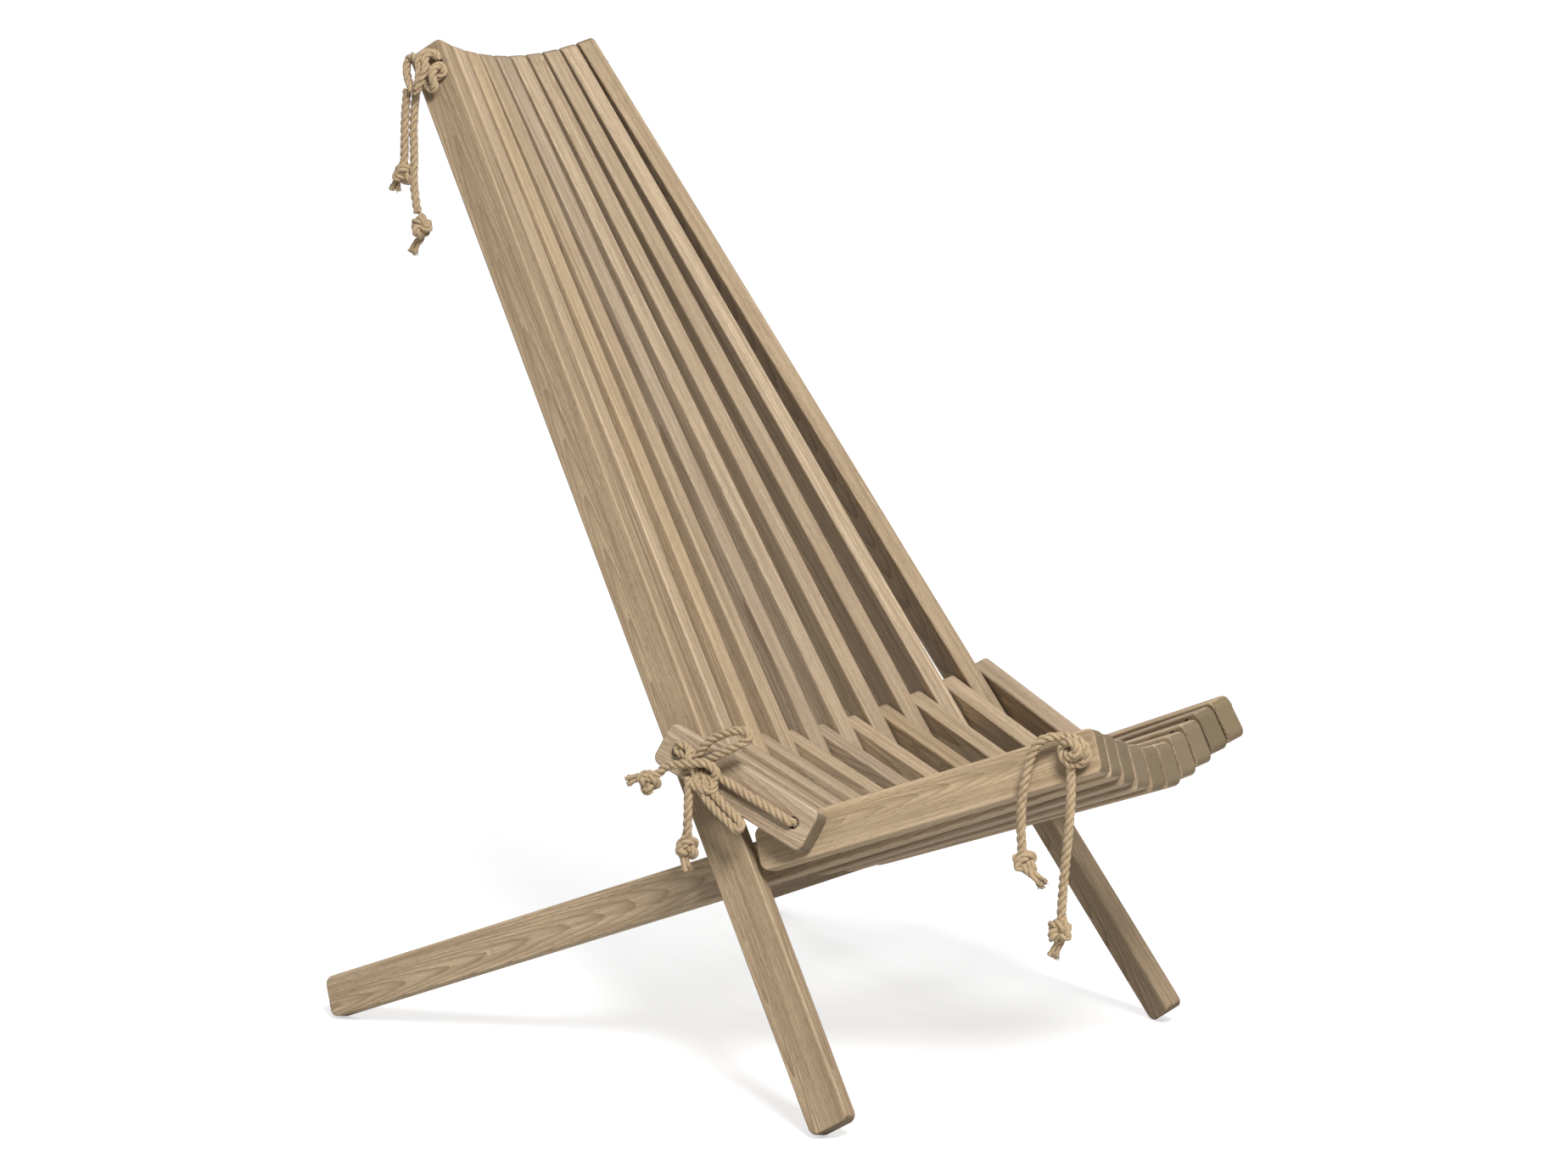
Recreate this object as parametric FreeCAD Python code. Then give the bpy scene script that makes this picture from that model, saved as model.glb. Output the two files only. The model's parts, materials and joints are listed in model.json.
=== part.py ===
import FreeCAD, Part
import os
from math import cos, sin, tan, radians, degrees, sqrt, acos
from FreeCAD import Vector as V

# Folding deck chair: a fan of wooden slats held together by rope alone.
# Millimetres. X is the width, the chair looks towards -Y, Z is up, the floor is z = 0.
# Every slat and link lies in a flat page. The pages fan out from an axis above the seat
# that runs parallel to the line from the top rope to the front rope.

# Wood section and pieces
SLAT_W = 45.0            # width of every slat and link
SLAT_T = 20.8            # thickness of every slat and link
EDGE_R = 2.5             # rounded long edges
CORNER_R = 9.0           # rounded corners of the square-cut ends
HOLE_R = 6.3             # rope holes
N_SLATS = 10             # back slats, and as many seat slats
N_LINKS = 11             # short links, one on each side of every slat

# Fan
PAGE_STEP = radians(4.782)        # turn from one layer of slats to the next
LINE_DROP = radians(36.3)         # slope of the line from the top rope to the front rope
FAN_R = 315.55                    # fan axis to the top rope

# Rope holes in the middle page
Y0 = 643.0                              # places the chair's footprint about the origin
TOP = V(0, Y0 - 191.5, 995.2)           # top rope, through the back slats
UP = V(0, Y0 - 664.7, 305.8)            # upper link rope, through the back slats and the links
LOW = V(0, Y0 - 808.6, 253.9)           # lower link rope, through the seat slats and the links
FRONT = V(0, Y0 - 1085.5, 373.4)        # front rope, through the seat slats

# Slat ends, measured from the rope holes
BACK_HEAD = 31.0         # back slat above the top rope
BACK_TAIL = 45.0         # short back slat below the upper link rope
FRONT_LEG = 1243.5       # top rope to the foot of the two outer back slats
SEAT_NOSE = 20.0         # seat slat beyond the front rope
SEAT_STUB = 56.0         # short seat slat behind the lower link rope
REAR_LEG = 659.5         # lower link rope to the foot of the two long seat slats
SEAT_OFFSET = 10.0       # outer seat slats: centre line below the holes
SEAT_OFFSET_INNER = 12.5 # the eight seat slats between them
SEAT_DROOP = [0.0, 0.0, 1.0, 2.0, 2.8, 2.8, 2.0, 1.0, 0.0, 0.0]   # degrees, slack front rope
LINK_END = 21.5          # link beyond its holes

# Rope
ROPE_D = 9.5
ROPE_R = ROPE_D / 2
FACE_GAP = 0.3           # a rope lying on a wooden face
KNOT_R = 12.0            # overhand knot in a rope end
TOP_KNOT_R = 14.0        # knot of the top rope
TOP_LOOP_R = 12.5        # its loop over the slat's rear edge
FRONT_KNOT_R = 16.0      # knot of the front rope
BOW_KNOT_R = 14.0        # middle of the bow
FAR_KNOT_R = 8.5         # knot pulled tight against the far outer slat
ROPE_JOIN = 0.8          # outer link mid-plane to the start of the lacing
BOW_UPPER_H = 15.0       # bow loops above the outer link's face
BOW_LOWER_H = 14.0
BOW_SIDE_H = 19.0

os.makedirs("parts", exist_ok=True)

FAN_DIR = V(0, -cos(LINE_DROP), -sin(LINE_DROP))     # along the fan axis, to the front
FAN_OUT = V(0, sin(LINE_DROP), -cos(LINE_DROP))      # away from the fan axis, to the rear
FAN_AXIS = TOP - FAN_OUT * FAN_R                     # a point of the fan axis
ACROSS = V(1, 0, 0)


def unit(v):
    return V(v).normalize()


def page_normal(i):
    a = i * PAGE_STEP
    return ACROSS * cos(a) - FAN_OUT * sin(a)


def page_out(i):
    a = i * PAGE_STEP
    return FAN_OUT * cos(a) + ACROSS * sin(a)


def place(p, i, h=0.0):
    """A point of the middle page carried to page i, then moved h along the page's normal."""
    q = p - FAN_AXIS
    return FAN_AXIS + FAN_DIR * q.dot(FAN_DIR) + page_out(i) * q.dot(FAN_OUT) + page_normal(i) * h


BACK_DIR = unit(UP - TOP)
LINK_DIR = unit(LOW - UP)
SEAT_DIR = unit(FRONT - LOW)
BACK_SIDE = V(0, BACK_DIR.z, -BACK_DIR.y)
LINK_SIDE = V(0, LINK_DIR.z, -LINK_DIR.y)
SEAT_SIDE = V(0, -SEAT_DIR.z, SEAT_DIR.y)            # towards the underside of the seat
BACK_SPAN = (UP - TOP).Length
LINK_SPAN = (LOW - UP).Length
SEAT_SPAN = (FRONT - LOW).Length


def stick(i, origin, along, side, start, end, offset, holes):
    """A slat in page i: start to end along its length, with rope holes at the given stations."""
    def at(a, w):
        return place(origin + along * a + side * w, i, -SLAT_T / 2)
    lo = offset - SLAT_W / 2
    hi = offset + SLAT_W / 2
    c = CORNER_R
    k = CORNER_R * (1 - 1 / sqrt(2))
    outline = Part.Wire([
        Part.LineSegment(at(start + c, lo), at(end - c, lo)).toShape(),
        Part.Arc(at(end - c, lo), at(end - k, lo + k), at(end, lo + c)).toShape(),
        Part.LineSegment(at(end, lo + c), at(end, hi - c)).toShape(),
        Part.Arc(at(end, hi - c), at(end - k, hi - k), at(end - c, hi)).toShape(),
        Part.LineSegment(at(end - c, hi), at(start + c, hi)).toShape(),
        Part.Arc(at(start + c, hi), at(start + k, hi - k), at(start, hi - c)).toShape(),
        Part.LineSegment(at(start, hi - c), at(start, lo + c)).toShape(),
        Part.Arc(at(start, lo + c), at(start + k, lo + k), at(start + c, lo)).toShape()])
    n = page_normal(i)
    body = Part.Face(outline).extrude(n * SLAT_T)
    mid = place(origin, i)
    rims = [e for e in body.Edges
            if abs(abs((e.CenterOfMass - mid).dot(n)) - SLAT_T / 2) < 0.01]
    body = body.makeFillet(EDGE_R, rims)
    for a in holes:
        p = place(origin + along * a, i, -SLAT_T)
        body = body.cut(Part.makeCylinder(HOLE_R, 2 * SLAT_T, p, n))
    return body.Solids[0]


def fan_rope(p, turn_to):
    """A rope threaded straight through the fan at p, from page -turn_to to page +turn_to."""
    ends = [place(p, -turn_to), place(p, turn_to)]
    arc = Part.Arc(ends[0], place(p, 0), ends[1]).toShape()
    tangent = page_normal(-turn_to)
    ring = Part.Wire([Part.Circle(ends[0], tangent, ROPE_R).toShape()])
    return Part.Wire([arc]).makePipeShell([ring], True, False)


def rope_wire(points, name):
    """Straight runs joined by tangent arcs. Prints the length and the tightest bend."""
    runs = [(b - a).Length for a, b in zip(points, points[1:])]
    edges = []
    last = points[0]
    length = 0.0
    tight = 1e9
    for j in range(1, len(points) - 1):
        u = unit(points[j] - points[j - 1])
        v = unit(points[j + 1] - points[j])
        bend = acos(max(-1.0, min(1.0, u.dot(v))))
        cut = 0.45 * min(runs[j - 1], runs[j])
        r = cut / tan(bend / 2)
        a = points[j] - u * cut
        b = points[j] + v * cut
        m = unit(v - u)
        mid = points[j] + m * (r / cos(bend / 2) - r)
        edges.append(Part.LineSegment(last, a).toShape())
        edges.append(Part.Arc(a, mid, b).toShape())
        length += (a - last).Length + r * bend
        tight = min(tight, r)
        last = b
    edges.append(Part.LineSegment(last, points[-1]).toShape())
    length += (points[-1] - last).Length
    print("%s: length %.1f mm, tightest bend radius %.1f mm" % (name, length, tight))
    return Part.Wire(edges)


def rope(points, name):
    wire = rope_wire(points, name)
    ring = Part.Wire([Part.Circle(points[0], unit(points[1] - points[0]), ROPE_R).toShape()])
    return wire.makePipeShell([ring], True, False)


def rope_end_knot(centre, end, taken):
    """An overhand knot with its short frayed end, hollowed where other pieces pass."""
    u = unit(end - centre)
    tuft = Part.makeCone(ROPE_R, ROPE_R * 1.3, (end - centre).Length, centre, u)
    knot = Part.makeSphere(KNOT_R, centre).fuse(tuft)
    for other in taken:
        knot = knot.cut(other)
    return biggest(knot)


def slab(p, i):
    """The layer of wood around p in page i, its holes filled, to give a knot a flat seat."""
    return Part.makeCylinder(80.0, SLAT_T, place(p, i, -SLAT_T / 2), page_normal(i))


def lump(balls, taken):
    """A tied knot as overlapping balls (centre, radius), cut where other pieces pass."""
    knot = Part.makeSphere(balls[0][1], balls[0][0])
    for centre, radius in balls[1:]:
        knot = knot.fuse(Part.makeSphere(radius, centre))
    for other in taken:
        knot = knot.cut(other)
    return biggest(knot)


def biggest(shape):
    return max(shape.Solids, key=lambda s: s.Volume)


def save(name, shapes):
    solid = shapes[0] if len(shapes) == 1 else Part.makeCompound(shapes)
    solid.exportStep("parts/%s.step" % name)


# Back slats: the two outer ones run on down as the front legs.
back = {}
for k in range(1, N_SLATS + 1):
    outer = k in (1, N_SLATS)
    end = FRONT_LEG if outer else BACK_SPAN + BACK_TAIL
    back[k] = stick(k - 5.5, TOP, BACK_DIR, BACK_SIDE, -BACK_HEAD, end, 0.0, [0.0, BACK_SPAN])
    save("back_slat_%02d" % k, [back[k]])

# Links between the back slats and the seat slats.
link = {}
for k in range(N_LINKS):
    link[k] = stick(k - 5, UP, LINK_DIR, LINK_SIDE, -LINK_END, LINK_SPAN + LINK_END, 0.0,
                    [0.0, LINK_SPAN])
    save("link_%02d" % k, [link[k]])

# Seat slats: the second from each side runs on back as a rear leg. The inner ones hang a
# little lower at the front, where only the slack front rope holds them.
seat = {}
seat_front = {}
for k in range(1, N_SLATS + 1):
    droop = radians(SEAT_DROOP[k - 1])
    along = SEAT_DIR * cos(droop) + SEAT_SIDE * sin(droop)
    side = SEAT_SIDE * cos(droop) - SEAT_DIR * sin(droop)
    seat_front[k] = LOW + along * SEAT_SPAN
    start = -REAR_LEG if k in (2, N_SLATS - 1) else -SEAT_STUB
    offset = SEAT_OFFSET if k in (1, N_SLATS) else SEAT_OFFSET_INNER
    seat[k] = stick(k - 5.5, LOW, along, side, start, SEAT_SPAN + SEAT_NOSE, offset,
                    [0.0, SEAT_SPAN])
    save("seat_slat_%02d" % k, [seat[k]])

# Threaded ropes of the back: the top rope ends flush with the outer slats, the upper link
# rope ends inside the outer links, where the lacing takes over.
TOP_REACH = 4.5 + degrees(SLAT_T / 2 / FAN_R) / degrees(PAGE_STEP)
top_rope = fan_rope(TOP, TOP_REACH)
save("rope_top", [top_rope])
up_r = (UP - FAN_AXIS).dot(FAN_OUT)
LINK_REACH = 5.0 - degrees(ROPE_JOIN / up_r) / degrees(PAGE_STEP)
save("rope_upper_link", [fan_rope(UP, LINK_REACH)])

# Threaded ropes of the seat, cut at each slat. One length fills the slat's front hole. The
# other runs from the slat's inner face out through the link it hinges on; at the two outer
# links it stops half-way, where the lacing takes over.
LOW_HALF = 21.9          # slat mid-plane to link mid-plane along the lower link rope
LOW_REACH = 32.0         # slat mid-plane to just outside that link
for k in range(1, N_SLATS + 1):
    i = k - 5.5
    n = page_normal(i)
    reach = LOW_HALF if k in (1, N_SLATS) else LOW_REACH
    begin = -reach if k <= N_SLATS / 2 else -SLAT_T / 2
    lower = Part.makeCylinder(ROPE_R, SLAT_T / 2 + reach, place(LOW, i, begin), n)
    front = Part.makeCylinder(ROPE_R, SLAT_T, place(seat_front[k], i, -SLAT_T / 2), n)
    save("seat_rope_%02d" % k, [lower, front])

# The same rope inside the middle link, which no seat slat hinges on.
save("rope_link_05", [Part.makeCylinder(ROPE_R, SLAT_T, place(LOW, 0, -SLAT_T / 2), ACROSS)])

# Lacing: on the outer face of each outer link the rope runs from one hole to the other.
FACE_H = SLAT_T / 2 + ROPE_R + FACE_GAP
lacing = {}
for name, i, side in (("lacing_near", -5, -1), ("lacing_far", 5, 1)):
    path = [place(UP, i, side * ROPE_JOIN), place(UP, i, side * FACE_H),
            place(LOW, i, side * FACE_H), place(LOW, i, side * ROPE_JOIN)]
    lacing[name] = rope(path, name)
    save(name, [lacing[name]])

# Top rope: a knot on the near outer slat, looped over its rear edge, with two hanging ends.
TOP_TAIL_A = [V(-144.5, 458, 995), V(-145.5, 461.5, 968), V(-146, 462.5, 940), V(-146, 464, 914)]
TOP_TAIL_B = [V(-138.5, 449.5, 995), V(-141, 454, 960), V(-140, 453.5, 925),
              V(-141, 456, 890), V(-141, 449, 862)]
tail_a = rope(TOP_TAIL_A, "top_tail_a")
tail_b = rope(TOP_TAIL_B, "top_tail_b")
save("top_tail_a", [tail_a])
save("top_tail_b", [tail_b])
knot_at = place(TOP, -4.5, -SLAT_T / 2 - 8)
loop_at = V(-140.5, 452.5, 1003)
save("top_knot", [lump([(knot_at, TOP_KNOT_R), (loop_at, TOP_LOOP_R)],
                       [slab(TOP, -4.5), top_rope, tail_a, tail_b])])
save("top_tail_knots", [
    rope_end_knot(V(-146, 467, 904), V(-147, 478, 888), [tail_a, tail_b]),
    rope_end_knot(V(-141, 441, 847), V(-142, 458, 820), [tail_b])])
far_at = place(TOP, 4.5, SLAT_T / 2 + 1)
save("top_knot_far", [lump([(far_at, FAR_KNOT_R)], [slab(TOP, 4.5), top_rope])])

# Front rope: a knot on the near outer seat slat with two hanging ends.
FRONT_TAIL_A = [V(-127, -451, 400), V(-135, -435, 402), V(-144, -424, 385), V(-149, -419, 353),
                V(-150, -416, 320), V(-149, -418, 288)]
FRONT_TAIL_B = [V(-128, -459, 384), V(-133, -464, 355), V(-138, -467, 325), V(-140, -464.5, 292),
                V(-140, -461, 259), V(-140, -459, 226)]
tail_a = rope(FRONT_TAIL_A, "front_tail_a")
tail_b = rope(FRONT_TAIL_B, "front_tail_b")
save("front_tail_a", [tail_a])
save("front_tail_b", [tail_b])
knot_at = place(FRONT, -4.5, -SLAT_T / 2 - 9)
save("front_knot", [lump([(knot_at, FRONT_KNOT_R)], [slab(FRONT, -4.5), tail_a, tail_b])])
save("front_tail_knots", [
    rope_end_knot(V(-149, -420, 277), V(-150, -444, 262), [tail_a]),
    rope_end_knot(V(-140, -459, 215), V(-141, -451, 190), [tail_b])])
far_at = place(FRONT, 4.5, SLAT_T / 2 + 1)
save("front_knot_far", [lump([(far_at, FAR_KNOT_R)], [slab(FRONT, 4.5)])])


# Bow on the near outer link, tied over the lacing.
def on_link(a, w, h):
    return place(UP + LINK_DIR * a + LINK_SIDE * w, -5, -SLAT_T / 2 - h)


BOW_TAIL = [V(-268, -89, 330), V(-272, -92, 312), V(-273, -92, 290), V(-272, -90, 269)]
bow_tail = rope(BOW_TAIL, "bow_tail")
save("bow_tail", [bow_tail])
upper_loop = rope([on_link(a, w, BOW_UPPER_H) for a, w in
                   ((30, 4), (38, 26), (52, 48), (68, 54), (70, 38), (54, 20), (40, 6))],
                  "bow_loop_upper")
lower_loop = rope([on_link(a, w, BOW_LOWER_H) for a, w in
                   ((32, -6), (56, -22), (84, -35), (104, -38), (106, -28), (86, -22),
                    (62, -10), (42, -2))],
                  "bow_loop_lower")
side_tail = rope([on_link(20, -4, 17), on_link(2, -14, BOW_SIDE_H), on_link(-8, -28, BOW_SIDE_H)],
                 "bow_side_tail")
passing = lacing["lacing_near"].fuse(bow_tail)
upper_loop = biggest(upper_loop.cut(passing))
lower_loop = biggest(lower_loop.cut(passing))
side_tail = biggest(side_tail.cut(passing))
knot_at = on_link(31, -1, 16)
bow_knot = lump([(knot_at, BOW_KNOT_R)], [lacing["lacing_near"], link[0], upper_loop, lower_loop,
                                          side_tail, bow_tail])
side_knot = rope_end_knot(on_link(-4, -38, BOW_SIDE_H), on_link(-22, -52, BOW_SIDE_H), [side_tail])
save("bow", [bow_knot, upper_loop, lower_loop, side_tail, side_knot])
save("bow_tail_knot", [rope_end_knot(V(-272, -88, 260), V(-273, -89, 238), [bow_tail])])
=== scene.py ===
import bpy
import json
import math
import random
import numpy as np
from mathutils import Matrix, Vector


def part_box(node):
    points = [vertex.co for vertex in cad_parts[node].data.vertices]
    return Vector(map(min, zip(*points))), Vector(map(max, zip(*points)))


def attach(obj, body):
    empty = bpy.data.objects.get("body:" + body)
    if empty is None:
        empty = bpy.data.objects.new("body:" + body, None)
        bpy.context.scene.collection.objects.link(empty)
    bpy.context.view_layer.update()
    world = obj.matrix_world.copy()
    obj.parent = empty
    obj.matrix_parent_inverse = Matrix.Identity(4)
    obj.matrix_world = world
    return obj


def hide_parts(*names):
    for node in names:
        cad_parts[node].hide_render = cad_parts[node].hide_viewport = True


# Folding deck chair: ash slats strung on three-strand jute rope.
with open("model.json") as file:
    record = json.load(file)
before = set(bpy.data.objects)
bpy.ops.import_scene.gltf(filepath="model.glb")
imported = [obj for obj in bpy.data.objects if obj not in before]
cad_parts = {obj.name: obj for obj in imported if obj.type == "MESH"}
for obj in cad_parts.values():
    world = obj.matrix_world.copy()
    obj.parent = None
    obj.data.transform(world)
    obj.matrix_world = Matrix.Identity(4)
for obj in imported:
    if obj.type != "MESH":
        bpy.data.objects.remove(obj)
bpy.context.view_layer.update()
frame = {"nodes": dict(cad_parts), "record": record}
RECORD = frame["record"]
NODES = frame["nodes"]
JOINTS = {j["name"]: j for j in RECORD["behaviour"]["joints"]}

# ---------------------------------------------------------------- camera
CAM_AT = Vector((-2.6169, -2.4406, 1.0738))
CAM_AZ = math.radians(46.95)
CAM_EL = math.radians(10.10)
CAM_ROLL = math.radians(-0.22)
look = Vector((math.sin(CAM_AZ) * math.cos(CAM_EL), math.cos(CAM_AZ) * math.cos(CAM_EL),
               -math.sin(CAM_EL)))
right = look.cross(Vector((0, 0, 1))).normalized()
up = right.cross(look)
cam_x = right * math.cos(CAM_ROLL) + up * math.sin(CAM_ROLL)
cam_y = up * math.cos(CAM_ROLL) - right * math.sin(CAM_ROLL)
turn = Matrix((cam_x, cam_y, -look)).transposed().to_4x4()
cam_data = bpy.data.cameras.new("camera")
cam_data.sensor_width = 36.0
cam_data.lens = 78.84
cam_data.shift_x = -0.0130
cam_data.shift_y = 0.0245
cam_data.clip_end = 60.0
camera = bpy.data.objects.new("camera", cam_data)
camera.matrix_world = Matrix.Translation(CAM_AT) @ turn
bpy.context.scene.collection.objects.link(camera)
bpy.context.scene.camera = camera

# ---------------------------------------------------------------- rope geometry
ROPE_D = 0.0095
LAY = 0.0255


def centre_line(points):
    """The line of a route: its points are the control points of a quadratic NURBS."""
    curve = bpy.data.curves.new("route", "CURVE")
    curve.dimensions = "3D"
    spline = curve.splines.new("NURBS")
    spline.points.add(len(points) - 1)
    for p, co in zip(spline.points, points):
        p.co = (co[0], co[1], co[2], 1.0)
    spline.order_u = 3
    spline.use_endpoint_u = True
    spline.resolution_u = 14
    holder = bpy.data.objects.new("route", curve)
    mesh = bpy.data.meshes.new_from_object(holder)
    line = [Vector(v.co) for v in mesh.vertices]
    bpy.data.meshes.remove(mesh)
    bpy.data.objects.remove(holder)
    bpy.data.curves.remove(curve)
    return resample(line, 0.0011)


def resample(line, step):
    pts = np.array([tuple(p) for p in line])
    seg = np.linalg.norm(np.diff(pts, axis=0), axis=1)
    along = np.concatenate([[0], np.cumsum(seg)])
    at = np.linspace(0, along[-1], max(3, int(along[-1] / step) + 1))
    return np.stack([np.interp(at, along, pts[:, k]) for k in range(3)], axis=1)


def smooth(points, steps=10):
    """A line through the points (Catmull-Rom)."""
    p = [np.array(points[0]) * 2 - np.array(points[1])] + [np.array(q, float) for q in points]
    p.append(p[-1] * 2 - p[-2])
    out = []
    for i in range(1, len(p) - 2):
        a, b, c, d = p[i - 1], p[i], p[i + 1], p[i + 2]
        for s in range(steps):
            t = s / steps
            out.append(0.5 * ((2 * b) + (c - a) * t + (2 * a - 5 * b + 4 * c - d) * t * t
                              + (3 * b - a - 3 * c + d) * t ** 3))
    out.append(p[-2])
    return resample([Vector(q) for q in out], 0.0011)


def frames(line):
    """Frames carried along a line without twist."""
    tan = np.gradient(line, axis=0)
    tan /= np.linalg.norm(tan, axis=1)[:, None]
    n = np.cross(tan[0], (0.3, 0.5, 0.8))
    n /= np.linalg.norm(n)
    normals = []
    for t in tan:
        n = n - t * np.dot(n, t)
        n /= np.linalg.norm(n)
        normals.append(n)
    normals = np.array(normals)
    return tan, normals, np.cross(tan, normals)


class Build:
    """Collects tubes with lengthwise UVs into one mesh."""

    def __init__(self):
        self.v, self.f, self.uv = [], [], []

    def tube(self, line, radius, sides, close=True, u0=0.0):
        line = np.asarray(line)
        radius = np.broadcast_to(np.asarray(radius, float), (len(line),))
        _, nrm, bi = frames(line)
        base = len(self.v)
        u = u0 + np.concatenate([[0], np.cumsum(np.linalg.norm(np.diff(line, axis=0), axis=1))])
        for i in range(len(line)):
            for k in range(sides):
                a = 2 * math.pi * k / sides
                self.v.append(line[i] + radius[i] * (math.cos(a) * nrm[i] + math.sin(a) * bi[i]))
        for i in range(len(line) - 1):
            for k in range(sides):
                m = (k + 1) % sides
                r0, r1 = base + i * sides, base + (i + 1) * sides
                self.f.append((r0 + k, r0 + m, r1 + m, r1 + k))
                ka, kb = k / sides, (k + 1) / sides
                self.uv += [(u[i], ka), (u[i], kb), (u[i + 1], kb), (u[i + 1], ka)]
        if close:
            self.f.append(tuple(base + k for k in reversed(range(sides))))
            self.uv += [(u[0], 0.0)] * sides
            last = base + (len(line) - 1) * sides
            self.f.append(tuple(last + k for k in range(sides)))
            self.uv += [(u[-1], 0.0)] * sides

    def strands(self, line, d=ROPE_D, lay=LAY, phase=0.0, flare=0.0, sides=9):
        """Three strands twisted about a line; flare opens them out over the last stretch."""
        line = np.asarray(line)
        tan, nrm, bi = frames(line)
        s = np.concatenate([[0], np.cumsum(np.linalg.norm(np.diff(line, axis=0), axis=1))])
        tail = np.clip((s - (s[-1] - 0.014)) / 0.014, 0, 1) if flare else np.zeros(len(s))
        off = d * 0.262 * (1 + flare * tail ** 1.5)
        for k in range(3):
            a = phase + 2 * math.pi * (s / lay + k / 3.0) * (1 - 0.1 * tail)
            path = line + nrm * (off * np.cos(a))[:, None] + bi * (off * np.sin(a))[:, None]
            wob = 1 + 0.05 * np.sin(s * 900 + k * 2.1)
            self.tube(path, d * 0.245 * wob, sides)

    def fuzz(self, line, count, d=ROPE_D, reach=0.0022, seed=1):
        """Loose fibres standing off the rope."""
        rnd = random.Random(seed)
        line = np.asarray(line)
        tan, nrm, bi = frames(line)
        for _ in range(count):
            i = rnd.randrange(len(line))
            a = rnd.uniform(0, 2 * math.pi)
            out = nrm[i] * math.cos(a) + bi[i] * math.sin(a)
            side = -nrm[i] * math.sin(a) + bi[i] * math.cos(a)
            p0 = line[i] + out * d * 0.44
            l = reach * rnd.uniform(0.4, 1.0)
            sl = rnd.uniform(-1.0, 1.0) * 1.6
            p1 = p0 + out * l * 0.45 + tan[i] * l * sl * 0.8 + side * l * rnd.uniform(-0.6, 0.6)
            p2 = p1 + out * l * 0.4 + tan[i] * l * sl * 0.9 + side * l * rnd.uniform(-0.8, 0.8)
            self.tube([p0, p1, p2], [0.00014, 0.00011, 0.00006], 3)

    def fray(self, at, direction, count=46, length=0.0075, d=ROPE_D, seed=1):
        """The brush of loose fibres at a cut end."""
        rnd = random.Random(seed)
        u = np.array(direction, float)
        u /= np.linalg.norm(u)
        n = np.cross(u, (0.2, 0.9, 0.4))
        n /= np.linalg.norm(n)
        b = np.cross(u, n)
        for _ in range(count):
            a = rnd.uniform(0, 2 * math.pi)
            r = d * 0.52 * math.sqrt(rnd.random())
            out = n * math.cos(a) + b * math.sin(a)
            p0 = np.array(at) + out * r - u * 0.006
            l = length * rnd.uniform(0.35, 0.95)
            spread = r / (d * 0.5) * rnd.uniform(0.1, 0.5)
            p1 = p0 + u * l * 0.6 + out * l * spread * 0.5
            p2 = p0 + u * l * 1.0 + out * l * spread + n * rnd.uniform(-1, 1) * 0.001
            self.tube([p0, p1, p2], [0.00060, 0.00055, 0.00038], 4)

    def mesh(self, name, material, slot="rope"):
        me = bpy.data.meshes.new(name)
        me.from_pydata([tuple(p) for p in self.v], [], self.f)
        layer = me.uv_layers.new(name="UVMap")
        layer.data.foreach_set("uv", [c for uv in self.uv for c in uv])
        me.polygons.foreach_set("use_smooth", [True] * len(me.polygons))
        me.update()
        o = bpy.data.objects.new(name, me)
        bpy.context.scene.collection.objects.link(o)
        me.materials.append(material)
        return o


def unit(v):
    v = np.array(v, float)
    return v / np.linalg.norm(v)


def overhand(centre, run, face, size=1.0, mirror=1.0, end=None, lead=None):
    """The line of a tight overhand knot: in along run, out to end. face looks out of it."""
    run = unit(run)
    face = unit(np.array(face) - run * np.dot(face, run))
    side = np.cross(face, run) * mirror
    u = ROPE_D * 0.37 * size
    pts = []
    if lead is not None:
        pts.append(np.array(lead, float))
    n = 22
    for j in range(n + 1):
        t = math.pi + 0.32 + (2 * math.pi - 0.64) * j / n
        x = math.sin(t) + 2 * math.sin(2 * t)
        y = math.cos(t) - 2 * math.cos(2 * t)
        z = -math.sin(3 * t)
        y = y * 0.55 - 0.1 if y < 0 else y * 1.05
        pts.append(np.array(centre) + run * (x * 0.80 * u) + side * (y * 1.12 * u)
                   + face * (z * ROPE_D * 0.44))
    if end is not None:
        e = np.array(end, float)
        mid = (pts[-1] * 0.35 + e * 0.65)
        pts += [mid, e]
    return smooth(pts, 6)


def trefoil(centre, a, b, face, size, depth):
    """The closed line of a three-lobed knot lying against a face."""
    u = ROPE_D * 0.37 * size
    a, b, face = unit(a), unit(b), unit(face)
    pts = []
    for j in range(61):
        t = 2 * math.pi * j / 60
        x = math.sin(t) + 2 * math.sin(2 * t)
        y = math.cos(t) - 2 * math.cos(2 * t)
        pts.append(np.array(centre) + a * x * u + b * y * u
                   + face * (-math.sin(3 * t)) * ROPE_D * depth)
    return resample([Vector(p) for p in pts], 0.0011)


# ---------------------------------------------------------------- materials
ASH_LIGHT = (0.565, 0.428, 0.283)         # early wood
ASH_SPREAD = (0.065, 0.050, 0.030)        # how far it goes lighter or darker from slat to slat
ASH_WARMTH = (0.0, 0.006, 0.018)          # how far it goes redder
ASH_LATE = (0.36, 0.31, 0.26)             # late wood, as a share of the early wood
ASH_GREY = (0.74, 0.76, 0.78)             # weathered patches
ASH_END_EARLY = (0.34, 0.335, 0.30)       # end grain
ASH_END_LATE = (0.17, 0.165, 0.14)
RINGS_PER_M = (400, 600)
JUTE_DARK = (0.41, 0.283, 0.152)
JUTE_LIGHT = (0.60, 0.450, 0.278)
# painted shade for the valleys between the yarns
JUTE_VALLEY_SHADE = (0.200, 0.125, 0.062)
JUTE_FIBRE = (0.70, 0.56, 0.375)
JUTE_YARNS = 7                            # yarns round a strand
YARN_PITCH = 0.024                        # metres per turn of a yarn


def shade(colour, share):
    return tuple(c * k for c, k in zip(colour, share))


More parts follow.
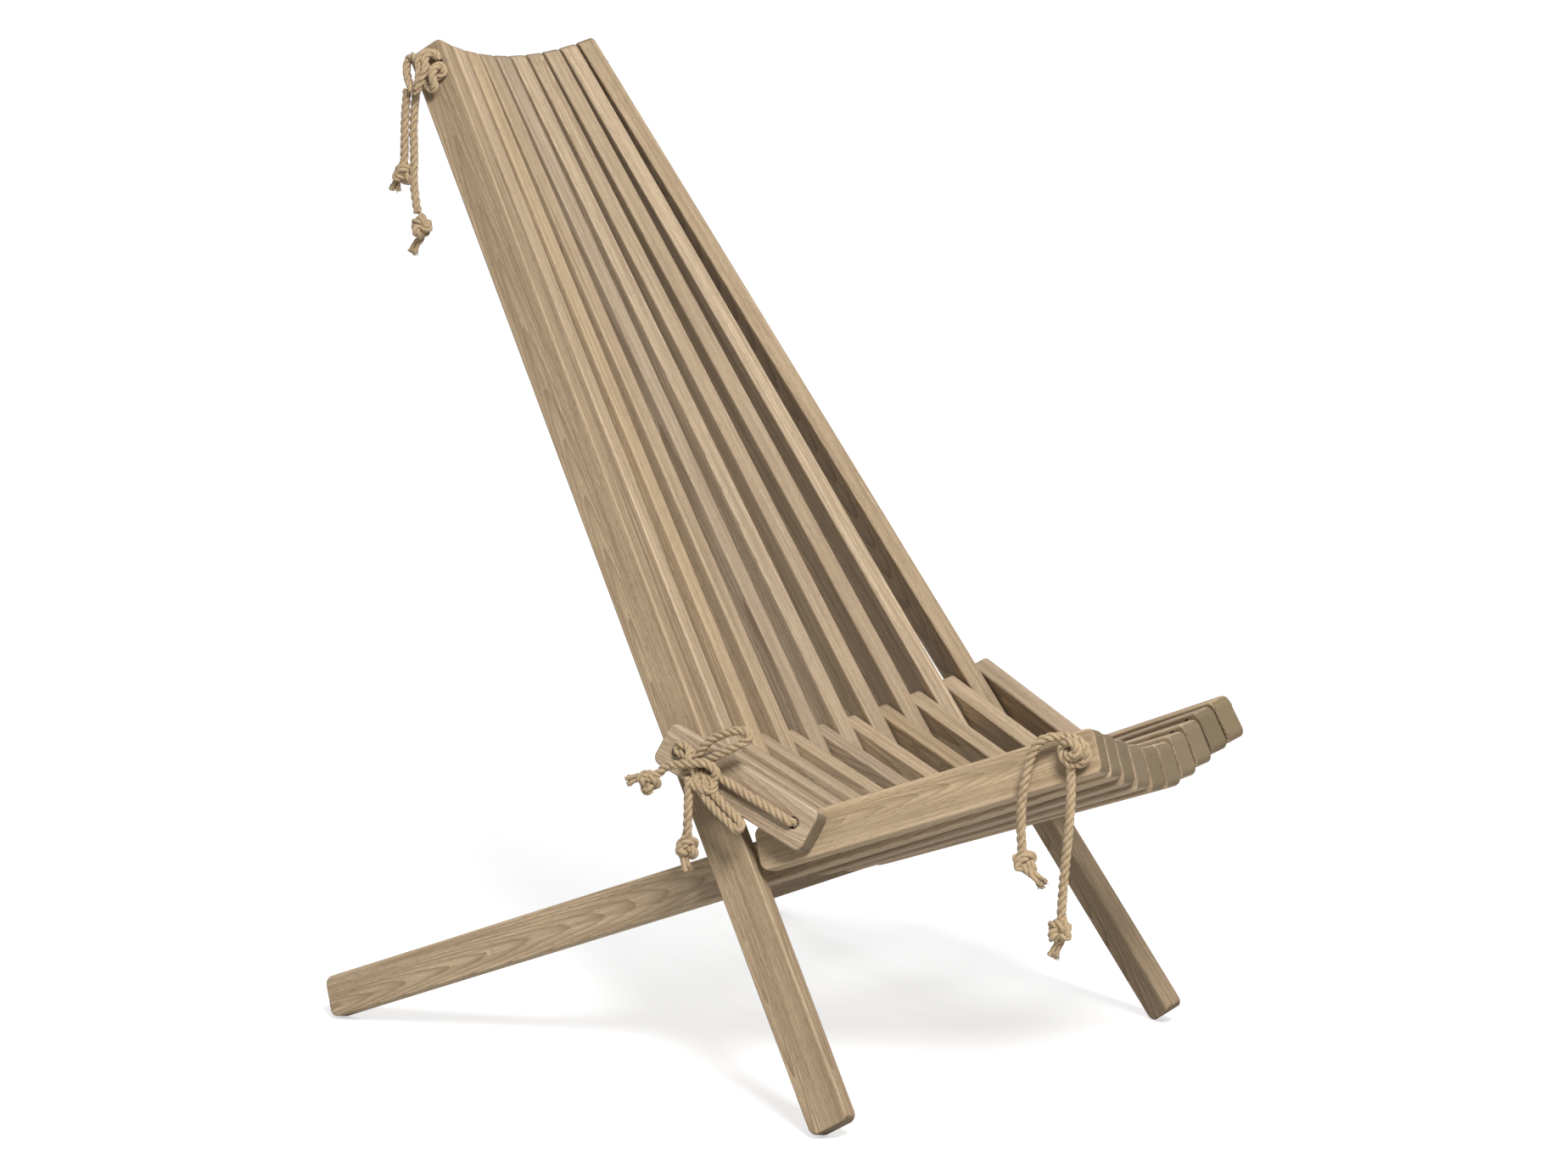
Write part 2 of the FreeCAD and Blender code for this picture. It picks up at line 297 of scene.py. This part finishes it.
def new_material(name):
    m = bpy.data.materials.new(name)
    m.use_nodes = True
    nt = m.node_tree
    bsdf = nt.nodes["Principled BSDF"]
    return m, nt, bsdf


def math_node(nt, op, a, b=None, clamp=False):
    n = nt.nodes.new("ShaderNodeMath")
    n.operation = op
    n.use_clamp = clamp
    for i, value in enumerate((a, b)):
        if value is None:
            continue
        if isinstance(value, (int, float)):
            n.inputs[i].default_value = value
        else:
            nt.links.new(value, n.inputs[i])
    return n.outputs[0]


def mix_colour(nt, fac, a, b, blend="MIX"):
    n = nt.nodes.new("ShaderNodeMix")
    n.data_type = "RGBA"
    n.blend_type = blend
    for sock, value in ((n.inputs["Factor"], fac), (n.inputs[6], a), (n.inputs[7], b)):
        if isinstance(value, (int, float)):
            sock.default_value = value
        elif isinstance(value, tuple):
            sock.default_value = (*value, 1.0)
        else:
            nt.links.new(value, sock)
    return n.outputs[2]


def ramp(nt, fac, stops):
    n = nt.nodes.new("ShaderNodeValToRGB")
    n.color_ramp.elements[0].position = stops[0][0]
    n.color_ramp.elements[0].color = (*stops[0][1], 1)
    n.color_ramp.elements[1].position = stops[-1][0]
    n.color_ramp.elements[1].color = (*stops[-1][1], 1)
    for pos, col in stops[1:-1]:
        e = n.color_ramp.elements.new(pos)
        e.color = (*col, 1)
    nt.links.new(fac, n.inputs[0])
    return n.outputs[0]


def noise(nt, vector, scale, detail=3.0, rough=0.5, dist=0.0):
    n = nt.nodes.new("ShaderNodeTexNoise")
    n.inputs["Scale"].default_value = scale
    n.inputs["Detail"].default_value = detail
    n.inputs["Roughness"].default_value = rough
    n.inputs["Distortion"].default_value = dist
    nt.links.new(vector, n.inputs["Vector"])
    return n.outputs["Fac"]


def stretched(nt, vector, sx, sy, sz, move=(0, 0, 0)):
    n = nt.nodes.new("ShaderNodeMapping")
    n.inputs["Scale"].default_value = (sx, sy, sz)
    n.inputs["Location"].default_value = move
    nt.links.new(vector, n.inputs["Vector"])
    return n.outputs["Vector"]


def wood_material(name, along, across, through, middle, half, seed):
    """Oiled ash with its grain along one slat. half: half width and half thickness, metres."""
    rnd = random.Random(seed)
    m, nt, bsdf = new_material(name)
    links = nt.links
    tc = nt.nodes.new("ShaderNodeTexCoord")
    basis = Matrix((along, across, through))
    place = nt.nodes.new("ShaderNodeMapping")
    place.inputs["Rotation"].default_value = basis.to_euler("XYZ")
    place.inputs["Location"].default_value = -(basis @ Vector(middle))
    links.new(tc.outputs["Object"], place.inputs["Vector"])
    p = place.outputs["Vector"]
    sep = nt.nodes.new("ShaderNodeSeparateXYZ")
    links.new(p, sep.inputs[0])
    x, y, z = sep.outputs[0], sep.outputs[1], sep.outputs[2]
    # growth rings about a pith line that runs slightly askew to the slat
    shift = (rnd.uniform(-50, 50), rnd.uniform(-50, 50), rnd.uniform(-50, 50))
    slow = noise(nt, stretched(nt, p, 1.6, 14, 14, shift), 1.0, 2.0, 0.5)
    slow2 = noise(nt, stretched(nt, p, 4.5, 40, 40, shift), 1.0, 3.0, 0.55)
    tilt_y = rnd.uniform(-0.035, 0.035)
    tilt_z = rnd.choice((-1, 1)) * rnd.uniform(0.012, 0.05)
    pith_y = rnd.uniform(-0.016, 0.016)
    pith_z = rnd.choice((-1, 1)) * rnd.uniform(0.018, 0.05)
    yy = math_node(nt, "ADD", math_node(nt, "ADD", y, pith_y), math_node(nt, "MULTIPLY", x, tilt_y))
    zz = math_node(nt, "ADD", math_node(nt, "ADD", z, pith_z), math_node(nt, "MULTIPLY", x, tilt_z))
    yy = math_node(nt, "ADD", yy, math_node(nt, "MULTIPLY", math_node(nt, "SUBTRACT", slow, 0.5), 0.017))
    rad = math_node(nt, "SQRT", math_node(nt, "ADD", math_node(nt, "MULTIPLY", yy, yy),
                                          math_node(nt, "MULTIPLY", zz, zz)))
    rad = math_node(nt, "ADD", rad, math_node(nt, "MULTIPLY", slow2, 0.0035))
    ring = math_node(nt, "FRACT", math_node(nt, "MULTIPLY", rad, rnd.uniform(*RINGS_PER_M)))
    late = math_node(nt, "POWER", ring, 2.1)
    pores_zone = ramp(nt, ring, [(0.0, (1, 1, 1)), (0.22, (0.8, 0.8, 0.8)), (0.45, (0, 0, 0)),
                                 (1.0, (0, 0, 0))])
    # fibre streaks and pores
    fibre = noise(nt, stretched(nt, p, 16, 900, 900, shift), 1.0, 3.0, 0.65)
    fibre2 = noise(nt, stretched(nt, p, 5, 210, 210, shift), 1.0, 3.0, 0.6)
    pore = noise(nt, stretched(nt, p, 110, 1500, 1500, shift), 1.0, 1.0, 0.5)
    pore = ramp(nt, pore, [(0.56, (0, 0, 0)), (0.64, (1, 1, 1))])
    in_zone = math_node(nt, "ADD", math_node(nt, "MULTIPLY", pores_zone, 0.85), 0.15)
    pore = math_node(nt, "MULTIPLY", pore, in_zone)
    patch = noise(nt, stretched(nt, p, 3.0, 22, 22, shift), 1.0, 3.0, 0.6)
    tone = rnd.uniform(-1, 1)
    warm = rnd.uniform(-1, 1)
    light = tuple(c + s * tone - w * warm for c, s, w in zip(ASH_LIGHT, ASH_SPREAD, ASH_WARMTH))
    dark = shade(light, ASH_LATE)
    base = mix_colour(nt, math_node(nt, "MULTIPLY", late, 0.84), light, dark)
    grey = shade(light, ASH_GREY)
    base = mix_colour(nt, ramp(nt, patch, [(0.38, (0, 0, 0)), (0.72, (0.55, 0.55, 0.55))]), base, grey)
    base = mix_colour(nt, ramp(nt, fibre2, [(0.38, (0, 0, 0)), (0.68, (0.62, 0.62, 0.62))]), base, dark)
    base = mix_colour(nt, ramp(nt, fibre, [(0.42, (0, 0, 0)), (0.72, (0.62, 0.62, 0.62))]), base,
                      tuple(c * 0.54 for c in light))
    base = mix_colour(nt, math_node(nt, "MULTIPLY", pore, 0.60), base, tuple(c * 0.30 for c in light))
    # painted highlight: slightly lighter long edges, broken up by the patch noise
    ay = math_node(nt, "DIVIDE", math_node(nt, "ABSOLUTE", y), half[0])
    az = math_node(nt, "DIVIDE", math_node(nt, "ABSOLUTE", z), half[1])
    edge_highlight = math_node(nt, "MULTIPLY", math_node(nt, "SUBTRACT", math_node(nt, "ADD", ay, az), 1.80), 5.0, True)
    dot = nt.nodes.new("ShaderNodeVectorMath")
    dot.operation = "DOT_PRODUCT"
    links.new(tc.outputs["Normal"], dot.inputs[0])
    dot.inputs[1].default_value = along
    facing = math_node(nt, "ABSOLUTE", dot.outputs["Value"])
    endg = math_node(nt, "MULTIPLY", math_node(nt, "SUBTRACT", facing, 0.42), 3.5, True)
    edge_highlight = math_node(nt, "MULTIPLY", edge_highlight, math_node(nt, "ADD", math_node(nt, "MULTIPLY", patch, 0.5), 0.1))
    edge_highlight = math_node(nt, "MULTIPLY", edge_highlight, math_node(nt, "SUBTRACT", 1.0, endg))
    # the painted highlight is mixed in along the long edges, kept off the end grain
    base = mix_colour(nt, edge_highlight, base, tuple(min(1.0, c * 1.18) for c in light))
    # end grain: greyer and darker
    end_tone = mix_colour(nt, late, shade(light, ASH_END_EARLY), shade(light, ASH_END_LATE))
    base = mix_colour(nt, math_node(nt, "MULTIPLY", endg, 0.90), base, end_tone)
    links.new(base, bsdf.inputs["Base Color"])
    rough = math_node(nt, "ADD", math_node(nt, "MULTIPLY", fibre, 0.22), 0.50)
    links.new(rough, bsdf.inputs["Roughness"])
    bsdf.inputs["Specular IOR Level"].default_value = 0.28
    height = math_node(nt, "ADD", math_node(nt, "MULTIPLY", fibre, 0.5),
                       math_node(nt, "ADD", math_node(nt, "MULTIPLY", pore, -0.9),
                                 math_node(nt, "MULTIPLY", late, 0.35)))
    bump = nt.nodes.new("ShaderNodeBump")
    bump.inputs["Strength"].default_value = 0.5
    bump.inputs["Distance"].default_value = 0.0006
    links.new(height, bump.inputs["Height"])
    links.new(bump.outputs["Normal"], bsdf.inputs["Normal"])
    return m


def rope_material(name, uv=True):
    """Jute: yarns laid along each strand, with painted shade in the valleys between the yarns and pale loose
    fibres.
    """
    m, nt, bsdf = new_material(name)
    links = nt.links
    tc = nt.nodes.new("ShaderNodeTexCoord")
    obj = tc.outputs["Object"]
    big = noise(nt, obj, 55.0, 3.0, 0.6)
    fine = noise(nt, obj, 900.0, 4.0, 0.7)
    if uv:
        sep = nt.nodes.new("ShaderNodeSeparateXYZ")
        links.new(tc.outputs["UV"], sep.inputs[0])
        twist = math_node(nt, "MULTIPLY", sep.outputs[0], 2 * math.pi * JUTE_YARNS / YARN_PITCH)
        round_ = math_node(nt, "MULTIPLY", sep.outputs[1], 2 * math.pi * JUTE_YARNS)
        yarn = math_node(nt, "SINE", math_node(nt, "ADD", math_node(nt, "ADD", twist, round_),
                                               math_node(nt, "MULTIPLY", big, 5.0)))
        yarn = math_node(nt, "ADD", math_node(nt, "MULTIPLY", yarn, 0.5), 0.5)
    else:
        yarn = noise(nt, obj, 420.0, 2.0, 0.5)
    tone = mix_colour(nt, big, JUTE_DARK, JUTE_LIGHT)
    # painted shade: the valleys between the yarns are darkened
    tone = mix_colour(nt, math_node(nt, "MULTIPLY", math_node(nt, "SUBTRACT", 1.0, yarn), 0.65), tone,
                      JUTE_VALLEY_SHADE)
    tone = mix_colour(nt, ramp(nt, fine, [(0.45, (0, 0, 0)), (0.75, (0.6, 0.6, 0.6))]), tone,
                      JUTE_FIBRE)
    links.new(tone, bsdf.inputs["Base Color"])
    bsdf.inputs["Roughness"].default_value = 0.85
    bsdf.inputs["Specular IOR Level"].default_value = 0.15
    bsdf.inputs["Sheen Weight"].default_value = 0.25
    bump = nt.nodes.new("ShaderNodeBump")
    bump.inputs["Strength"].default_value = 0.7
    bump.inputs["Distance"].default_value = 0.0006
    links.new(math_node(nt, "ADD", math_node(nt, "MULTIPLY", yarn, 0.7),
                        math_node(nt, "MULTIPLY", fine, 0.6)), bump.inputs["Height"])
    links.new(bump.outputs["Normal"], bsdf.inputs["Normal"])
    return m


JUTE = rope_material("jute_rope")
JUTE_PLAIN = rope_material("jute_threaded", uv=False)

# ---------------------------------------------------------------- local frames of the pieces


def slat_frame(name):
    """Axes and middle of a slat, from its own vertices: along, across, through."""
    pts = np.array([tuple(v.co) for v in NODES[name].data.vertices])
    q = pts - pts.mean(0)
    _, vec = np.linalg.eigh(q.T @ q)
    along, across, through = vec[:, 2], vec[:, 1], vec[:, 0]
    if np.dot(np.cross(along, across), through) < 0:
        through = -through
    c = []
    for ax in (along, across, through):
        d = q @ ax
        c.append((d.max() + d.min()) / 2)
    mid = pts.mean(0) + along * c[0] + across * c[1] + through * c[2]
    half = [float((q @ ax).max() - (q @ ax).min()) / 2 for ax in (along, across, through)]
    return Vector(along), Vector(across), Vector(through), Vector(mid), half


slats = [n for n in NODES if n.startswith("back_slat") or n.startswith("link_")
         or n.startswith("seat_slat")]
for index, name in enumerate(sorted(slats)):
    al, ac, th, mid, half = slat_frame(name)
    mat = wood_material("ash_" + name, al, ac, th, mid, (half[1], half[2]), 100 + index)
    NODES[name].data.materials.clear()
    NODES[name].data.materials.append(mat)
for name in NODES:
    if name.startswith("rope_") or name.startswith("seat_rope"):
        NODES[name].data.materials.clear()
        NODES[name].data.materials.append(JUTE_PLAIN)


def exact_axes(name):
    """A slat's axes from its flat faces: along (downwards or forwards), across (upwards), out (-X)."""
    me = NODES[name].data
    al, ac, th, mid, half = slat_frame(name)
    found = []
    for guess in (th, ac):
        total = Vector((0, 0, 0))
        for poly in me.polygons:
            c = poly.normal.dot(guess)
            if abs(c) > 0.995:
                total += poly.normal * poly.area * (1 if c > 0 else -1)
        found.append(total.normalized())
    out = found[0] if found[0].x < 0 else -found[0]
    across = found[1] if found[1].z > 0 else -found[1]
    along = out.cross(across).normalized()
    return along, across, out, half


def on_face(origin, axes, sign=1.0):
    """Points (along, across, above the face), in millimetres, carried to the row frame."""
    al, ac, out, half = axes
    al = al * sign

    def put(points):
        return [origin + al * (a / 1000) + ac * (w / 1000) + out * (half[2] + h / 1000)
                for a, w, h in points]
    return put


def down_sign(axes, low_end):
    """+1 when the along axis already points the way it should (towards -z, or -y)."""
    return 1.0 if axes[0].dot(Vector(low_end)) > 0 else -1.0


back_axes = exact_axes("back_slat_01")
link_axes = exact_axes("link_00")
seat_axes = exact_axes("seat_slat_01")
TOP_AT = Vector((-0.115747, 0.438479, 1.012926))
UP_AT = Vector(JOINTS["link_hinge_00"]["pos_m"])
LOW_AT = Vector(JOINTS["seat_hinge_01"]["pos_m"])
on_back = on_face(TOP_AT, back_axes, down_sign(back_axes, (0, -0.5, -0.8)))
on_link = on_face(UP_AT, link_axes, down_sign(link_axes, (0, -0.9, -0.3)))
on_seat = on_face(LOW_AT, seat_axes, down_sign(seat_axes, (0, -0.9, 0.3)))

# ---------------------------------------------------------------- cords
MM = 0.001
TOP_TAIL_A = [(-144.5, 458, 995), (-145.5, 461.5, 968), (-146, 462.5, 940), (-146, 464, 914)]
TOP_TAIL_B = [(-138.5, 449.5, 995), (-141, 454, 960), (-140, 453.5, 925), (-141, 456, 890),
              (-141, 449, 862)]
FRONT_TAIL_A = [(-127, -451, 400), (-135, -435, 402), (-144, -424, 385), (-149, -419, 353),
                (-150, -416, 320), (-149, -418, 288)]
FRONT_TAIL_B = [(-128, -459, 384), (-133, -464, 355), (-138, -467, 325), (-140, -464.5, 292),
                (-140, -461, 259), (-140, -459, 226)]
BOW_TAIL = [(-268, -89, 330), (-272, -92, 312), (-273, -92, 290), (-272, -90, 269)]


def metres(points):
    return [(x * MM, y * MM, z * MM) for x, y, z in points]


def tail(name, route, body, seed):
    line = centre_line(metres(route))
    b = Build()
    b.strands(line, phase=seed)
    b.fuzz(line, 60 + int(1200 * len(line) * 0.0011), seed=seed)
    o = b.mesh(name, JUTE)
    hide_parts(name)
    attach(o, body)
    return o


def end_knot(name, node, body, centre, end, along, mirror, seed, face, size=1.0):
    """An overhand knot near the end of a tail, with the frayed end beyond it."""
    c = np.array(centre) * MM
    e = np.array(end) * MM
    line = overhand(c, along, face, size, mirror, end=e, lead=c - unit(along) * 0.0135)
    b = Build()
    b.strands(line, phase=seed * 0.7, flare=0.55)
    b.fuzz(line, 90, seed=seed)
    b.fray(line[-1], line[-1] - line[-8], seed=seed)
    o = b.mesh(name, JUTE)
    if node:
        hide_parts(node)
    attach(o, body)
    return o


TOWARDS_VIEW = np.array(-look)
tail("top_tail_a", TOP_TAIL_A, "back", 1)
tail("top_tail_b", TOP_TAIL_B, "back", 2)
tail("front_tail_a", FRONT_TAIL_A, "seat_body_01", 3)
tail("front_tail_b", FRONT_TAIL_B, "seat_body_01", 4)
tail("bow_tail", BOW_TAIL, "link_body_00", 5)

knot_ta = end_knot("top_tail_knot_a", "top_tail_knots", "back", (-146, 467, 904),
                   (-147, 480, 886), (0.05, 0.30, -1), 1, 11, TOWARDS_VIEW)
knot_tb = end_knot("top_tail_knot_b", "top_tail_knots", "back", (-141, 441, 847),
                   (-142, 459, 818), (0, -0.35, -1), -1, 12, TOWARDS_VIEW)
knot_fa = end_knot("front_tail_knot_a", "front_tail_knots", "seat_body_01", (-149, -420, 277),
                   (-150, -446, 260), (0, 0, -1), 1, 13, TOWARDS_VIEW)
knot_fb = end_knot("front_tail_knot_b", "front_tail_knots", "seat_body_01", (-140, -459, 215),
                   (-141, -449, 189), (0, 0.1, -1), -1, 14, TOWARDS_VIEW)
knot_bt = end_knot("bow_tail_end", "bow_tail_knot", "link_body_00", (-272, -88, 260),
                   (-273, -90, 236), (0, 0.1, -1), 1, 15, TOWARDS_VIEW)


def rope_piece(name, paths, body, nodes=(), seed=1, frays=()):
    """One mesh of several rope runs, given as lines in the row frame."""
    b = Build()
    for j, path in enumerate(paths):
        line = smooth([tuple(p) for p in path], 10) if not isinstance(path, np.ndarray) else path
        flare = 0.55 if j in frays else 0.0
        b.strands(line, phase=seed + j * 1.3, flare=flare)
        b.fuzz(line, 50 + len(line), seed=seed * 10 + j)
        if j in frays:
            b.fray(line[-1], line[-1] - line[-8], seed=seed * 10 + j)
    o = b.mesh(name, JUTE)
    if nodes:
        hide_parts(*nodes)
    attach(o, body)
    return o


# Knot of the top rope, with its loop over the slat's rear edge.
knot_top = rope_piece("top_rope_knot", [
    on_back([(15, -26, 12), (0, -28, 9), (-14, -26, 8), (-23, -20, 8), (-21, -11, 11),
             (-8, -6, 15), (8, -10, 18), (19, -19, 15)]),
    on_back([(0, 0, -6), (0, 0, 3), (3, -4, 8), (14, -8, 9), (24, -7, 9), (26, 1, 13), (16, 5, 18),
             (9, 11, 16), (8, 16, 11), (13, 13, 6), (14, 4, 7), (6, -4, 12), (-4, -6, 18),
             (-11, 0, 18), (-15, 7, 12), (-9, 11, 6)]),
    on_back([(20, -24, 12), (14, -11, 17), (4, 1, 19), (-8, 5, 17), (-12, 12, 9), (-3, 14, 5)])],
    "back", ("top_knot",), seed=21)

# Knot of the front rope.
def drawn_in(points):
    return on_seat([(302 + (a - 302) * 0.90, -9 + (w + 9) * 0.90, h * 0.94) for a, w, h in points])


knot_front = rope_piece("front_rope_knot", [
    drawn_in([(289, 10, 13), (300, 8, 15), (311, 0, 17), (317, -11, 15), (312, -20, 11),
             (302, -22, 9), (298, -16, 13), (306, -9, 19), (312, -14, 16), (305, -18, 7)]),
    drawn_in([(297, -25, 12), (293, -18, 14), (288, -9, 13), (291, 0, 14), (302, 1, 20),
             (310, -7, 22), (306, -15, 20), (297, -13, 17), (293, -5, 9), (301.6, 0, 2),
             (301.6, 0, -6)])],
    "seat_body_01", ("front_knot",), seed=22)

# Bow: two loops, a band across the middle and a short side end with its own knot.
rope_piece("bow_knot", [
    on_link([(0, 0, -6), (0, 2, 2), (3, 7, 6), (10, 9, 7), (19, 7, 8), (26, 3, 9), (29, -5, 9)]),
    on_link([(31, -4, 10), (32, 7, 14), (35.5, 22, 18), (45, 36.5, 21), (58, 48.5, 23),
             (70, 55, 23), (77, 52.5, 22), (73.5, 43, 22), (62.5, 30, 21), (51, 17, 18),
             (39, 4.5, 13)]),
    on_link([(25, -18, 8), (31, -7, 11), (47, -7, 13), (59, -4, 14), (60, 5, 18), (48, 7, 21),
             (34, 0, 22), (20, -9, 21), (9.5, -16, 19), (4, -26, 18), (2, -31, 18)]),
    on_link([(35, -8, 10), (46, -14, 17), (56, -20, 17), (75, -27, 15), (96, -31, 14),
             (108, -33.5, 13), (112, -29, 13), (106, -24, 14), (92, -21, 15), (75, -17, 15),
             (58, -12, 15), (44, -4, 12)]),
    on_link([(60, -6, 14), (66, -9, 17), (64, -15, 19), (50, -18, 19), (39, -19, 17), (32, -17, 10)]),
    on_link([(18, 9, 8), (24.5, 2, 16), (31, -3, 17), (38, -8, 14)])],
    "link_body_00", ("bow",), seed=23)
side_c, side_e = on_link([(-3, -39, 18), (-24, -51, 17)])
side_d = on_link([(2, -31, 18)])[0]
end_knot("bow_side_knot", "bow", "link_body_00", tuple(side_c / MM), tuple(side_e / MM),
         tuple(side_c - side_d), 1, 24, TOWARDS_VIEW)

# Lacing along the outer face of each outer link.
for name, body, node, face_out in (("lacing_near_rope", "link_body_00", "lacing_near", -1),
                                   ("lacing_far_rope", "link_body_10", "lacing_far", 1)):
    ax = exact_axes("link_00" if face_out < 0 else "link_10")
    origin = UP_AT if face_out < 0 else Vector(JOINTS["link_hinge_10"]["pos_m"])
    s = down_sign(ax, (0, -0.9, -0.3))
    out = ax[2] if face_out < 0 else -ax[2]
    pts = []
    for a, h in ((0, -9), (0, 0), (3, 4.2), (14, 5.0), (60, 5.0), (110, 5.0), (139, 5.0),
                 (150, 4.2), (153, 0), (153, -9)):
        pts.append(origin + ax[0] * s * a * MM + out * (ax[3][2] + h * MM))
    rope_piece(name, [pts], body, (node,), seed=30 + face_out)

# Plain stopper knots on the far side.
far_back = exact_axes("back_slat_10")
far_seat = exact_axes("seat_slat_10")
for name, node, body, ax in (("top_rope_stopper", "top_knot_far", "back", far_back),
                             ("front_rope_stopper", "front_knot_far", "seat_body_10", far_seat)):
    lo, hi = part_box(node)
    centre = (Vector(lo) + Vector(hi)) / 2
    rope_piece(name, [trefoil(centre, ax[0], ax[1], -ax[2], 0.5, 0.3)], body, (node,), seed=41)


# ---------------------------------------------------------------- floor and light
FLOOR_SIZE = 80.0
FLOOR_TONES = ((0.60, 0.60, 0.60), (0.63, 0.63, 0.63))
FLOOR_GLOW = 0.58          # lifts the floor towards white for the camera only
FLOOR_FADE = 0.3           # more of it away from the chair
WORLD_LIGHT = 0.31         # what the surroundings shine on the chair
WORLD_SEEN = 0.73          # added to it where the camera looks past the chair
bpy.ops.mesh.primitive_plane_add(size=FLOOR_SIZE, location=(0, 0, 0))
floor = bpy.context.object
floor.name = "floor"
fm, fnt, fb = new_material("floor")
tcf = fnt.nodes.new("ShaderNodeTexCoord")
tone = ramp(fnt, noise(fnt, tcf.outputs["Object"], 3.0, 3.0), [(0.3, FLOOR_TONES[0]),
                                                               (0.7, FLOOR_TONES[1])])
fnt.links.new(tone, fb.inputs["Base Color"])
fb.inputs["Roughness"].default_value = 0.9
reach = fnt.nodes.new("ShaderNodeVectorMath")
reach.operation = "LENGTH"
fnt.links.new(tcf.outputs["Object"], reach.inputs[0])
seen = fnt.nodes.new("ShaderNodeLightPath")
fade = math_node(fnt, "MULTIPLY", math_node(fnt, "SUBTRACT", reach.outputs["Value"], 0.7), 0.35, True)
glow = math_node(fnt, "ADD", math_node(fnt, "MULTIPLY", fade, FLOOR_FADE), FLOOR_GLOW)
glow = math_node(fnt, "MULTIPLY", glow, seen.outputs["Is Camera Ray"])
fb.inputs["Emission Color"].default_value = (1.0, 1.0, 1.0, 1.0)
fnt.links.new(glow, fb.inputs["Emission Strength"])
floor.data.materials.append(fm)

world = bpy.data.worlds.new("world")
bpy.context.scene.world = world
world.use_nodes = True
world.node_tree.nodes["Background"].inputs["Color"].default_value = (1.0, 1.0, 1.0, 1.0)
wpath = world.node_tree.nodes.new("ShaderNodeLightPath")
lit = math_node(world.node_tree, "MULTIPLY", wpath.outputs["Is Camera Ray"], WORLD_SEEN)
world.node_tree.links.new(math_node(world.node_tree, "ADD", lit, WORLD_LIGHT),
                          world.node_tree.nodes["Background"].inputs["Strength"])


def area(name, at, to, size, power):
    d = bpy.data.lights.new(name, "AREA")
    d.shape = "DISK"
    d.size = size
    d.energy = power
    o = bpy.data.objects.new(name, d)
    o.location = at
    o.rotation_euler = (Vector(to) - Vector(at)).to_track_quat("-Z", "Y").to_euler()
    bpy.context.scene.collection.objects.link(o)


area("key", (-1.6, -2.6, 3.6), (0, 0, 0.4), 1.5, 222)
area("fill", (3.0, -1.5, 2.2), (0, 0, 0.4), 2.5, 16)
area("back", (1.5, 3.2, 2.4), (0, 0, 0.5), 2.0, 42)

bpy.context.scene.view_settings.view_transform = "Standard"
